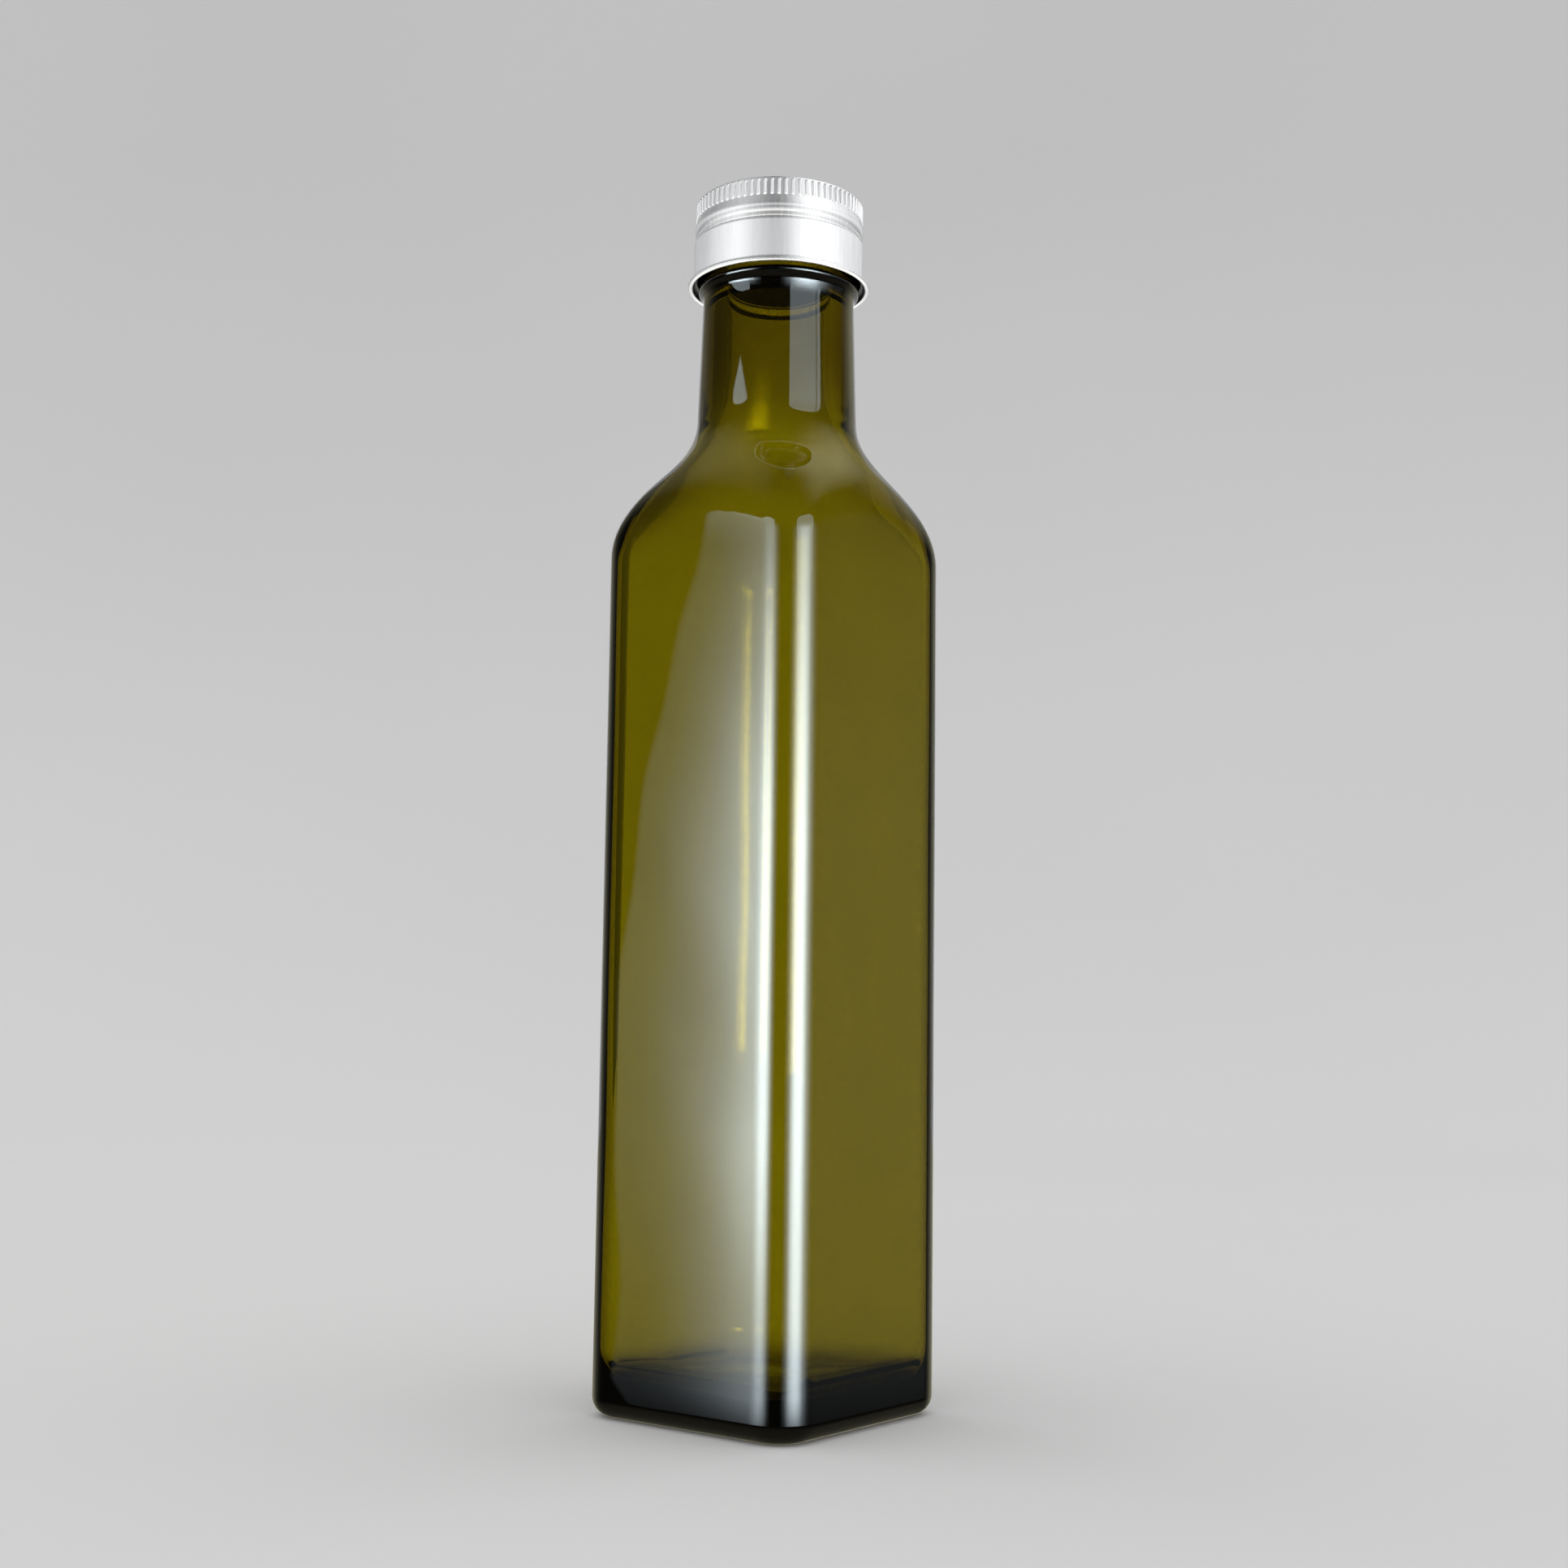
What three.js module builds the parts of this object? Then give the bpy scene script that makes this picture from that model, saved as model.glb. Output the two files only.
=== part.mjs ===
// Square glass oil bottle of 250 ml with a knurled aluminium screw cap.
//
// Millimetres, +Z up. The origin is the middle of the base, on the surface that
// the bottle stands on. The four flat faces look along +X, -X, +Y and -Y.
// The bottle is one thick glass shell, open at its mouth, and the cap is one thin
// metal cup that sits over the mouth.

import * as THREE from 'three';

// Glass body, a square prism with rounded upright corners
const BODY_WIDTH = 46.5;           // across the flats
const CORNER_RADIUS = 7.1;
const WALL = 3.0;                  // glass at the flat faces
const INNER_CORNER_RADIUS = 4.6;
const HEEL_RADIUS = 3.4;           // rounded lower edge

// Base: a flat ring that the bottle stands on, round a shallow hollow
const BEARING_RING_WIDTH = 2.6;
const PUSH_UP = 2.2;               // depth of the hollow at the middle
const FLOOR_HEIGHT = 6.0;          // top of the glass floor near the walls
const FLOOR_DOME = 1.2;            // how much higher the floor is at the middle
const INNER_HEEL_RADIUS = 5.5;
const INNER_FLOOR_CORNER = 2.5;

// Shoulder: a turned cone that the square prism cuts, so each face ends in an arch
const SHOULDER_TOP = 171.6;        // height where the cone runs into the neck
const SHOULDER_FLARE = 1.17;       // radius gained for each mm of height lost
const NECK_FILLET = 6.75;          // how softly the cone turns into the neck
const FACE_BLEND = 8.4;            // how softly the cone turns into the faces
const SHOULDER_WALL = 5.8;         // glass in the cone, measured level
const INNER_NECK_FILLET = 9;
const INNER_FACE_BLEND = 7;

// Neck and finish, the part of the neck that the cap covers
const NECK_RADIUS = 14.82;         // at SHOULDER_TOP
const NECK_TAPER = 0.03;           // radius lost for each mm up
const NECK_WALL = 2.6;             // glass in the blown part of the neck, at SHOULDER_TOP
const BLOWN_TAPER = 0.17;          // radius that the blown part gains inside for each mm down
const BORE_BLEND = 1;
const NECK_END = 200.6;            // where the neck flares out into the bead
const FLARE_BEND = 1.5;            // radius of that flare in profile
const FLARE_TURN = 50;             // degrees that it turns
const BEAD_BEND = 1.0;             // radius of the glass bead at the cap's lower edge, in profile
const BEAD_RUN = 1.2;              // from the bead's top up to the plain finish
const FINISH_RADIUS = 13.5;
const LIP_HEIGHT = 217.6;
const LIP_ROUND = 1.1;
const BORE_RADIUS = 9.25;          // at the lip
const BORE_TAPER = 0.012;          // radius gained for each mm down

// Cap
const CAP_BOTTOM = 203.0;
const CAP_TOP = 219.4;
const CAP_RADIUS = 15.75;          // plain skirt
const CAP_WALL = 0.55;
const CAP_TOP_WALL = 1.5;          // metal and the sealing disc under it
const CAP_INNER_ROUND = 0.4;       // chamfer between the inner wall and the top
const CURL_RADIUS = 0.5;           // rolled lower edge
const CURL_CENTRE = 16.4;
const CURL_INNER_RISE = 0.8;       // height inside over which the wall bends out to the curl
const SKIRT_FOOT = 0.35;           // height outside over which the curl runs into the skirt
const GROOVE_HEIGHT = 211.95;
const GROOVE_RADIUS = 15.4;
const GROOVE_HALF = 0.45;
const CAP_BEAD_HEIGHT = 213.35;
const CAP_BEAD_BEND = 1.3;         // radius of the cap's bead in profile
const CAP_BEAD_RADIUS = 15.7;
const SLOPE_HEIGHT = 214.7;        // inward slope over the bead
const SLOPE_RADIUS = 15.5;
const WAIST_HEIGHT = 215.9;        // top of the slope, where the knurl starts
const WAIST_RADIUS = 15.34;
const KNURL_FOOT = 0.7;            // height over which the fingers rise out of the slope
const KNURL_TOP = 218.6;
const KNURL_RADIUS = 15.62;
const KNURL_DEPTH = 0.35;          // at its foot
const KNURL_TOP_DEPTH = 0.5;
const KNURL_COUNT = 76;
const RIM_RADIUS = 15.1;           // at the top edge, behind the fingers
const RIM_ROUND = 0.35;

// How finely the surfaces are cut up
const FACE_STEPS = 8;              // across each flat face
const CORNER_STEPS = 5;            // round each upright corner
const CAP_STEPS = KNURL_COUNT;     // round the plain parts of the cap
const DOME_SHARES = [0.4, 0.75, 1];         // loops of the base and of the floor, out from the axis
const HEEL_TURNS = [0, 15, 35, 60, 90];     // degrees round both heels
const WALL_LOOPS = [55, 105];               // heights, in the plain part of the walls
const OUTER_SHOULDER = { from: 150, to: 180, steps: 20 };
const INNER_SHOULDER = { from: 150, to: 178, steps: 12 };
const NECK_LOOP = 190;
const BORE_LOOP = 195;

const glassMaterial = new THREE.MeshStandardMaterial({
  color: 0x5f5508,
  roughness: 0.05,
  metalness: 0,
  transparent: true,
  opacity: 0.6,
  flatShading: true,
});

const capMaterial = new THREE.MeshStandardMaterial({
  color: 0xd4d5d6,
  roughness: 0.35,
  metalness: 1,
  flatShading: true,
});

// Distance from the axis to a square with rounded corners, along an angle.
function squareReach(angle, half, corner) {
  const across = Math.abs(Math.cos(angle));
  const along = Math.abs(Math.sin(angle));
  const flat = half / Math.max(across, along);
  const pivot = half - corner;
  if (flat * Math.min(across, along) <= pivot) {
    return flat;
  }
  const toPivot = pivot * (across + along);
  return toPivot + Math.sqrt(toPivot * toPivot - 2 * pivot * pivot + corner * corner);
}

// The smaller of two lengths, rounded over where they differ by less than blend.
function softMin(a, b, blend) {
  const share = Math.max(blend - Math.abs(a - b), 0) / blend;
  return Math.min(a, b) - share * share * blend / 4;
}

// The larger of two lengths, rounded the same way.
function softMax(a, b, blend) {
  return -softMin(-a, -b, blend);
}

// Points of an arc in a turned profile, as [radius, height], angles in degrees.
function arc(radius, height, round, from, to, steps) {
  return Array.from({ length: steps + 1 }, (_, i) => {
    const angle = THREE.MathUtils.degToRad(from + (to - from) * i / steps);
    return [radius + round * Math.cos(angle), height + round * Math.sin(angle)];
  });
}

// Evenly spaced values from one end to the other, both ends included.
function spread(from, to, steps) {
  return Array.from({ length: steps + 1 }, (_, i) => from + (to - from) * i / steps);
}

// Directions round the bottle: even steps over each face and finer ones over each corner.
function bottleAngles() {
  const pivot = BODY_WIDTH / 2 - CORNER_RADIUS;
  const edge = Math.atan2(pivot, BODY_WIDTH / 2);
  const angles = [];
  for (let side = 0; side < 4; side += 1) {
    const middle = side * Math.PI / 2;
    angles.push(...spread(middle - edge, middle + edge, FACE_STEPS).slice(0, -1));
    const nextEdge = middle + Math.PI / 2 - edge;
    angles.push(...spread(middle + edge, nextEdge, CORNER_STEPS).slice(0, -1));
  }
  return angles;
}

// One closed loop of points at a height, from a reach for each angle.
function ring(angles, height, reach) {
  return angles.map((angle) => {
    const r = reach(angle);
    return { angle, at: new THREE.Vector3(r * Math.cos(angle), r * Math.sin(angle), height) };
  });
}

// A point on the axis, as a loop of its own that closes a skin.
function pole(height) {
  return [{ angle: 0, at: new THREE.Vector3(0, 0, height) }];
}

// Triangles between two loops that may have different numbers of points. It walks round
// both, and always steps along the loop whose next point comes first.
function band(first, second, push) {
  const full = 2 * Math.PI;
  const next = (loop, i) => loop[(i + 1) % loop.length].angle + (i + 1 >= loop.length ? full : 0);
  const point = (loop, i) => loop[i % loop.length].at;
  const steps = (loop) => (loop.length > 1 ? loop.length : 0);
  let i = 0;
  let j = 0;
  while (i < steps(first) || j < steps(second)) {
    const stepFirst = j >= steps(second)
      || (i < steps(first) && next(first, i) <= next(second, j) + 1e-9);
    if (stepFirst) {
      push(point(first, i), point(first, i + 1), point(second, j));
      i += 1;
    } else {
      push(point(first, i), point(second, j + 1), point(second, j));
      j += 1;
    }
  }
}

// A closed skin through a row of loops that starts and ends on the axis.
function skin(loops) {
  const positions = [];
  const push = (...corners) => corners.forEach((p) => positions.push(p.x, p.y, p.z));
  for (let k = 0; k + 1 < loops.length; k += 1) {
    band(loops[k], loops[k + 1], push);
  }
  const geometry = new THREE.BufferGeometry();
  geometry.setAttribute('position', new THREE.Float32BufferAttribute(positions, 3));
  geometry.computeVertexNormals();
  return geometry;
}

// Half width of the body near the base, where the heel rounds it in.
function heelHalf(height) {
  const below = Math.max(HEEL_RADIUS - height, 0);
  return BODY_WIDTH / 2 - HEEL_RADIUS + Math.sqrt(HEEL_RADIUS * HEEL_RADIUS - below * below);
}

// Radius of the neck and of the shoulder's cone, as if the whole bottle were turned.
function turnedRadius(height) {
  const drop = SHOULDER_TOP - height;
  const neck = NECK_RADIUS + NECK_TAPER * drop;
  const cone = NECK_RADIUS + SHOULDER_FLARE * drop;
  return softMax(neck, cone, NECK_FILLET);
}

// Radius of the inside of the neck: the largest of the pressed bore, which is nearly straight,
// the blown part below it, which widens slowly, and the cone of the shoulder.
function boreRadius(height) {
  const drop = SHOULDER_TOP - height;
  const pressed = BORE_RADIUS + BORE_TAPER * (LIP_HEIGHT - height);
  const blown = NECK_RADIUS - NECK_WALL + BLOWN_TAPER * drop;
  const cone = NECK_RADIUS - SHOULDER_WALL + SHOULDER_FLARE * drop;
  return softMax(softMax(pressed, blown, BORE_BLEND), cone, INNER_NECK_FILLET);
}

// Outer face of the glass at a height and an angle.
function outerReach(height, angle) {
  const half = heelHalf(height);
  const corner = CORNER_RADIUS - (BODY_WIDTH / 2 - half);
  return softMin(turnedRadius(height), squareReach(angle, half, corner), FACE_BLEND);
}

// Inner face of the glass at a height and an angle.
function innerReach(height, angle) {
  const below = Math.max(FLOOR_HEIGHT + INNER_HEEL_RADIUS - height, 0);
  const inset = INNER_HEEL_RADIUS - Math.sqrt(INNER_HEEL_RADIUS ** 2 - below ** 2);
  const half = BODY_WIDTH / 2 - WALL - inset;
  const corner = Math.max(INNER_CORNER_RADIUS - inset, INNER_FLOOR_CORNER);
  return softMin(boreRadius(height), squareReach(angle, half, corner), INNER_FACE_BLEND);
}

// One loop of a shallow dome over a rounded square, at a share of the way out to its edge.
// The height falls off as one parabola across X times another across Y, and is level at the edge.
function domeLoop(angles, share, half, corner, base, rise) {
  return angles.map((angle) => {
    const r = share * squareReach(angle, half, corner);
    const x = r * Math.cos(angle);
    const y = r * Math.sin(angle);
    const lift = share < 1 ? (1 - (x / half) ** 2) * (1 - (y / half) ** 2) : 0;
    return { angle, at: new THREE.Vector3(x, y, base + rise * lift) };
  });
}

// Base seen from below: hollow, then the flat ring that touches the table.
function baseLoops(angles) {
  const outer = heelHalf(0);
  const inner = outer - BEARING_RING_WIDTH;
  const corner = CORNER_RADIUS - HEEL_RADIUS;
  const dome = DOME_SHARES.map((share) => domeLoop(angles, share, inner, corner, 0, PUSH_UP));
  return [pole(PUSH_UP), ...dome, ring(angles, 0, (a) => squareReach(a, outer, corner))];
}

// Height gained by a rounded heel after so many degrees of its round.
function heelHeight(round, turn) {
  return round * (1 - Math.cos(THREE.MathUtils.degToRad(turn)));
}

// Outside of the glass from the heel to the end of the neck.
function sideLoops(angles) {
  const heel = HEEL_TURNS.slice(1).map((turn) => heelHeight(HEEL_RADIUS, turn));
  const { from, to, steps } = OUTER_SHOULDER;
  const heights = [...heel, ...WALL_LOOPS, ...spread(from, to, steps), NECK_LOOP, NECK_END];
  return heights.map((z) => ring(angles, z, (a) => outerReach(z, a)));
}

// Turned profile over the finish: flare of the neck, bead, plain finish and lip.
function finishProfile() {
  const flareCentre = turnedRadius(NECK_END) + FLARE_BEND;
  const flare = arc(flareCentre, NECK_END, FLARE_BEND, 180, 180 - FLARE_TURN, 3);
  const [flareRadius, flareHeight] = flare[flare.length - 1];
  const turn = THREE.MathUtils.degToRad(FLARE_TURN);
  const beadCentre = flareRadius - BEAD_BEND * Math.cos(turn);
  const beadHeight = flareHeight + BEAD_BEND * Math.sin(turn);
  return [
    ...flare.slice(1),
    ...arc(beadCentre, beadHeight, BEAD_BEND, -FLARE_TURN, 80, 5).slice(1),
    [FINISH_RADIUS, beadHeight + BEAD_BEND + BEAD_RUN],
    ...arc(FINISH_RADIUS - LIP_ROUND, LIP_HEIGHT - LIP_ROUND, LIP_ROUND, 0, 90, 3),
    ...arc(BORE_RADIUS + LIP_ROUND, LIP_HEIGHT - LIP_ROUND, LIP_ROUND, 90, 180, 3),
  ];
}

// Inside of the glass from the bore down to the floor.
function cavityLoops(angles) {
  const { from, to, steps } = INNER_SHOULDER;
  const heel = HEEL_TURNS.map((turn) => FLOOR_HEIGHT + heelHeight(INNER_HEEL_RADIUS, turn));
  const heights = [...heel, ...WALL_LOOPS, ...spread(from, to, steps), BORE_LOOP].reverse();
  const walls = heights.map((z) => ring(angles, z, (a) => innerReach(z, a)));
  const half = BODY_WIDTH / 2 - WALL - INNER_HEEL_RADIUS;
  const shares = DOME_SHARES.slice(0, -1).reverse();
  const floor = shares.map((share) => {
    return domeLoop(angles, share, half, INNER_FLOOR_CORNER, FLOOR_HEIGHT, FLOOR_DOME);
  });
  return [...walls, ...floor, pole(FLOOR_HEIGHT + FLOOR_DOME)];
}

// The glass bottle, one skin: base, outside, over the lip, and down the inside.
function makeBottle() {
  const angles = bottleAngles();
  const finish = finishProfile().map(([radius, z]) => ring(angles, z, () => radius));
  const loops = [...baseLoops(angles), ...sideLoops(angles), ...finish, ...cavityLoops(angles)];
  const mesh = new THREE.Mesh(skin(loops), glassMaterial);
  mesh.name = 'glass_bottle';
  return mesh;
}

// Cap profile below the knurl: inside of the cup, rolled edge, skirt, groove and bead.
function capLowerProfile() {
  const inner = CAP_RADIUS - CAP_WALL;
  const ceiling = CAP_TOP - CAP_TOP_WALL;
  const curlHeight = CAP_BOTTOM + CURL_RADIUS;
  return [
    [inner - CAP_INNER_ROUND, ceiling],
    [inner, ceiling - CAP_INNER_ROUND],
    [inner, curlHeight + CURL_INNER_RISE],
    ...arc(CURL_CENTRE, curlHeight, CURL_RADIUS, 180, 450, 8),
    [CAP_RADIUS, curlHeight + CURL_RADIUS + SKIRT_FOOT],
    [CAP_RADIUS, GROOVE_HEIGHT - GROOVE_HALF],
    [GROOVE_RADIUS, GROOVE_HEIGHT],
    ...arc(CAP_BEAD_RADIUS - CAP_BEAD_BEND, CAP_BEAD_HEIGHT, CAP_BEAD_BEND, -42, 14, 4),
    [SLOPE_RADIUS, SLOPE_HEIGHT],
    [WAIST_RADIUS, WAIST_HEIGHT],
  ];
}

// Knurl: fingers side by side round the cap's top, each with a groove to its next.
function knurlLoops() {
  const angles = spread(0, 2 * Math.PI, 2 * KNURL_COUNT).slice(0, -1);
  const step = 2 * Math.PI / KNURL_COUNT;
  const waved = (z, radius, depth) => ring(angles, z, (a) => {
    const crest = Math.round(a / (step / 2)) % 2 === 0;
    return crest ? radius : radius - depth;
  });
  const rim = arc(RIM_RADIUS - RIM_ROUND, CAP_TOP - RIM_ROUND, RIM_ROUND, 10, 90, 2);
  return [
    waved(WAIST_HEIGHT + KNURL_FOOT, KNURL_RADIUS, KNURL_DEPTH),
    waved(KNURL_TOP, KNURL_RADIUS, KNURL_TOP_DEPTH),
    ...rim.map(([radius, z]) => waved(z, radius, 0)),
  ];
}

// The screw cap, one skin: up the inside, round the rolled edge, and up the outside.
function makeCap() {
  const angles = spread(0, 2 * Math.PI, CAP_STEPS).slice(0, -1);
  const lower = capLowerProfile().map(([radius, z]) => ring(angles, z, () => radius));
  const ceiling = CAP_TOP - CAP_TOP_WALL;
  const loops = [pole(ceiling), ...lower, ...knurlLoops(), pole(CAP_TOP)];
  const mesh = new THREE.Mesh(skin(loops), capMaterial);
  mesh.name = 'screw_cap';
  return mesh;
}

const group = new THREE.Group();
group.add(makeBottle(), makeCap());

export default group;
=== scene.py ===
# %% [markdown]
# A square oil bottle of about 250 ml: dark olive-green container glass, blown in a mould,
# with a knurled aluminium screw cap on it. It stands empty on a pale seamless sweep.
# All lengths below are written in millimetres, as a drawing would give them, and one
# number turns them into the scene's metres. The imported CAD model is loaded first, because
# it fixes the place and the size of everything that follows.

import math

import bpy
import numpy as np
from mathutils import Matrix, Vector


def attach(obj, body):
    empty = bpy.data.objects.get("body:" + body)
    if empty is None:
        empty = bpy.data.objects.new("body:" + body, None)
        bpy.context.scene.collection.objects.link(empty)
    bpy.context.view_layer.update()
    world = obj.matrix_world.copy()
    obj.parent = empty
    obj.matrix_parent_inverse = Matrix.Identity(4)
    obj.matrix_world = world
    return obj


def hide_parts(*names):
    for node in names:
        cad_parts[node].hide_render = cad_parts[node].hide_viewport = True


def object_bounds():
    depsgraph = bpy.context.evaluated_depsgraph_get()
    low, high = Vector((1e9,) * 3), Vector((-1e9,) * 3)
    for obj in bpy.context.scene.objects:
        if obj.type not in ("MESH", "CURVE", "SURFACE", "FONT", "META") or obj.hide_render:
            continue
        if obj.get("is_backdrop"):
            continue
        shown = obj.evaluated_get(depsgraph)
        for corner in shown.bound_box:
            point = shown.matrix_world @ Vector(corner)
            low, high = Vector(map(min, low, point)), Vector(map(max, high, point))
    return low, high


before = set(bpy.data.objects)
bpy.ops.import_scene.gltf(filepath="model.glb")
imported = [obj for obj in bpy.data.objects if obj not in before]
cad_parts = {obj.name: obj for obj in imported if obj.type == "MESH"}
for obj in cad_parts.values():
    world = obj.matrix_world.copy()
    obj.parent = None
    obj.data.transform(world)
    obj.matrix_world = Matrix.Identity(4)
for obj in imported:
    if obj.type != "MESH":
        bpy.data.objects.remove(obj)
cad_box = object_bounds()
MM = 0.001
print("CAD nodes:", sorted(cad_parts))

# %% [markdown]
# The glass follows two shapes: a square prism with rounded corners, and a turned cone with
# the neck on it. At each height and angle round the axis, each of the two lies at its own
# distance from the axis. A real mould is cut where both of them leave room, so the
# bottle's surface is the nearer of the two, and a soft minimum rounds the line where they
# meet.

# %% Lengths of squares and soft limits


def square_reach(angle, half, corner):
    """Distance from the axis to a square with rounded corners. On the flats it is half over the
    larger of |cos| and |sin|. On a corner it is where the ray leaves the corner's circle."""
    across, along = np.abs(np.cos(angle)), np.abs(np.sin(angle))
    flat = half / np.maximum(across, along)
    pivot = half - corner
    middle = pivot * (across + along)
    rounded = middle + np.sqrt(np.maximum(middle**2 - 2 * pivot**2 + corner**2, 0))
    return np.where(flat * np.minimum(across, along) <= pivot, flat, rounded)


def soft_min(a, b, blend):
    """The smaller of two lengths, less a parabola where they differ by less than blend."""
    share = np.maximum(blend - np.abs(a - b), 0) / blend
    return np.minimum(a, b) - share**2 * blend / 4


def soft_max(a, b, blend):
    """The larger of two lengths, rounded over in the same way."""
    return -soft_min(-a, -b, blend)


def arc(radius, height, bend, start, end, steps):
    """Profile points (radius, height) on a circle of radius bend, angles in degrees."""
    turn = np.radians(np.linspace(start, end, steps + 1))
    return np.stack([radius + bend * np.cos(turn), height + bend * np.sin(turn)], 1)


print("a 46.5 mm square reaches", square_reach(np.radians([0, 45]), 23.25, 7.1).round(2), "mm")

# %% [markdown]
# The outside of the body is 46.5 mm across the flats, with 7.1 mm corners and a rounded
# heel. The shoulder is a turned cone that runs out of the round neck, and each flat face
# ends in an arch where the cone takes over. These numbers were fitted to the outlines of
# the real bottle.

# %% Outer shape of the glass
HALF, CORNER, HEEL = 23.25, 7.1, 3.4
SHOULDER_TOP, NECK_RADIUS, NECK_TAPER, FLARE = 171.6, 14.82, 0.03, 1.17
NECK_FILLET, FACE_BLEND = 6.75, 8.4


def heel_half(z):
    """Half width of the body: full, less the sagitta of the rounded heel below its height."""
    below = np.maximum(HEEL - z, 0)
    return HALF - HEEL + np.sqrt(np.maximum(HEEL**2 - below**2, 0))


def turned_radius(z):
    """Radius of neck and cone: the larger of a slow taper and a steep flare below the neck."""
    drop = SHOULDER_TOP - z
    return soft_max(NECK_RADIUS + NECK_TAPER * drop, NECK_RADIUS + FLARE * drop, NECK_FILLET)


def outer_reach(z, angle):
    """Outside of the glass: the nearer of the turned shape and the rounded square."""
    half = heel_half(z)
    return soft_min(turned_radius(z), square_reach(angle, half, CORNER - (HALF - half)), FACE_BLEND)


print("shoulder radius at 160 mm:", float(turned_radius(160.0).round(2)))

# %% [markdown]
# The inside is not moulded but blown, so it only follows the outside roughly: softer
# corners, a thick floor, and walls about 3 mm thick. Only the bore of 18.5 mm is pressed,
# by the plunger that starts the bottle. Under it the blown neck widens slowly and turns
# into a cone that lies well inside the outer one. This matters for the look: where two
# walls run steeply apart they trap the light between them and turn black.
# The walls vary by a tenth of a millimetre in slow waves, which bend what is seen through
# the glass. A sum of a few sines with unrelated periods gives them, and never repeats.

# %% Inner shape of the glass
WALL, INNER_CORNER = 3.0, 4.6
FLOOR, FLOOR_DOME, INNER_HEEL, FLOOR_CORNER = 6.0, 1.2, 5.5, 2.5
LIP, BORE, BORE_TAPER, BORE_BLEND = 217.6, 9.25, 0.012, 1.0
NECK_WALL, BLOWN_TAPER, SHOULDER_WALL, BORE_FILLET, INNER_BLEND = 2.6, 0.17, 5.8, 9.0, 7.0


def bore_radius(z):
    """Radius of the inside of the neck: the largest of the pressed bore, which is nearly straight,
    the blown part below it, which widens slowly, and the cone of the shoulder."""
    drop = SHOULDER_TOP - z
    pressed, blown = BORE + BORE_TAPER * (LIP - z), NECK_RADIUS - NECK_WALL + BLOWN_TAPER * drop
    cone = NECK_RADIUS - SHOULDER_WALL + FLARE * drop
    return soft_max(soft_max(pressed, blown, BORE_BLEND), cone, BORE_FILLET)


def inner_reach(z, angle):
    """Inside of the glass: the nearer of the bore's cone and the rounded square, by height."""
    below = np.clip(FLOOR + INNER_HEEL - z, 0, INNER_HEEL)
    inset = INNER_HEEL - np.sqrt(INNER_HEEL**2 - below**2)
    corner = np.maximum(INNER_CORNER - inset, FLOOR_CORNER)
    return soft_min(bore_radius(z), square_reach(angle, HALF - WALL - inset, corner), INNER_BLEND)


def waves(z, angle, seed):
    """Slow waves between about -1 and 1: sines of height and of angle with mixed periods."""
    a = np.sin(z / 9.1 + 2 * angle + seed) + np.sin(z / 14.3 - 3 * angle + 1.7 * seed)
    b = np.sin(z / 23.9 + angle + 2.3 * seed) + 0.6 * np.sin(z / 5.7 + 5 * angle + 0.4 * seed)
    return (a + b) / 3.6


print("wall at mid height:", float((outer_reach(90.0, 0.0) - inner_reach(90.0, 0.0)).round(2)))

# %% [markdown]
# The bottle is one skin, as glass is one piece: the hollow of the base, the flat ring it
# stands on, the outside, the finish under the cap, the lip, and the inside down to the
# floor. The skin is a grid of points, one row for each height and one column for each
# angle, with finer columns at the corners.

# %% Rows and columns of the glass
FLAT_COLUMNS, CORNER_COLUMNS = 64, 24


def bottle_angles():
    """Angles round the bottle: even steps over each flat, then even steps over each corner."""
    edge = math.atan2(HALF - CORNER, HALF)
    flat = np.linspace(-edge, edge, FLAT_COLUMNS, endpoint=False)
    corner = np.linspace(edge, math.pi / 2 - edge, CORNER_COLUMNS, endpoint=False)
    return (np.arange(4)[:, None] * math.pi / 2 + np.concatenate([flat, corner])).ravel()


ANGLES = bottle_angles()


def rows(reach, z, angles):
    """Grid rows (x, y, z) from a reach for every height and angle."""
    r = np.broadcast_to(reach, (len(z), len(angles)))
    return np.stack([r * np.cos(angles), r * np.sin(angles), np.broadcast_to(z[:, None], r.shape)], 2)


def turned(profile, angles):
    """Grid rows of a turned profile: the same radius at every angle."""
    return rows(profile[:, :1], profile[:, 1], angles)


def dome(half, corner, base, rise, shares):
    """Rows of a shallow dome over a rounded square: one parabola across times one along."""
    r = shares[:, None] * square_reach(ANGLES, half, corner)
    x, y = r * np.cos(ANGLES), r * np.sin(ANGLES)
    lift = np.maximum(1 - (x / half) ** 2, 0) * np.maximum(1 - (y / half) ** 2, 0)
    return np.stack([x, y, base + rise * lift * np.where(shares[:, None] < 1, 1, 0)], 2)


def heel_heights(bend, steps):
    """Heights on a rounded heel, closer together where it turns fastest."""
    return bend * (1 - np.cos(np.linspace(0, math.pi / 2, steps + 1)))


print("columns round the bottle:", len(ANGLES))

# %% [markdown]
# The ring under the base is cut with small radial marks, as the base of a moulded bottle
# is, so that it doesn't crack on a hot belt. They are cosines along the ring's length,
# and a sine across it runs them out at both edges.

# %% Base
RING_WIDTH, PUSH_UP, MARK_PITCH, MARK_DEPTH = 2.6, 2.2, 2.0, 0.3

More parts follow.
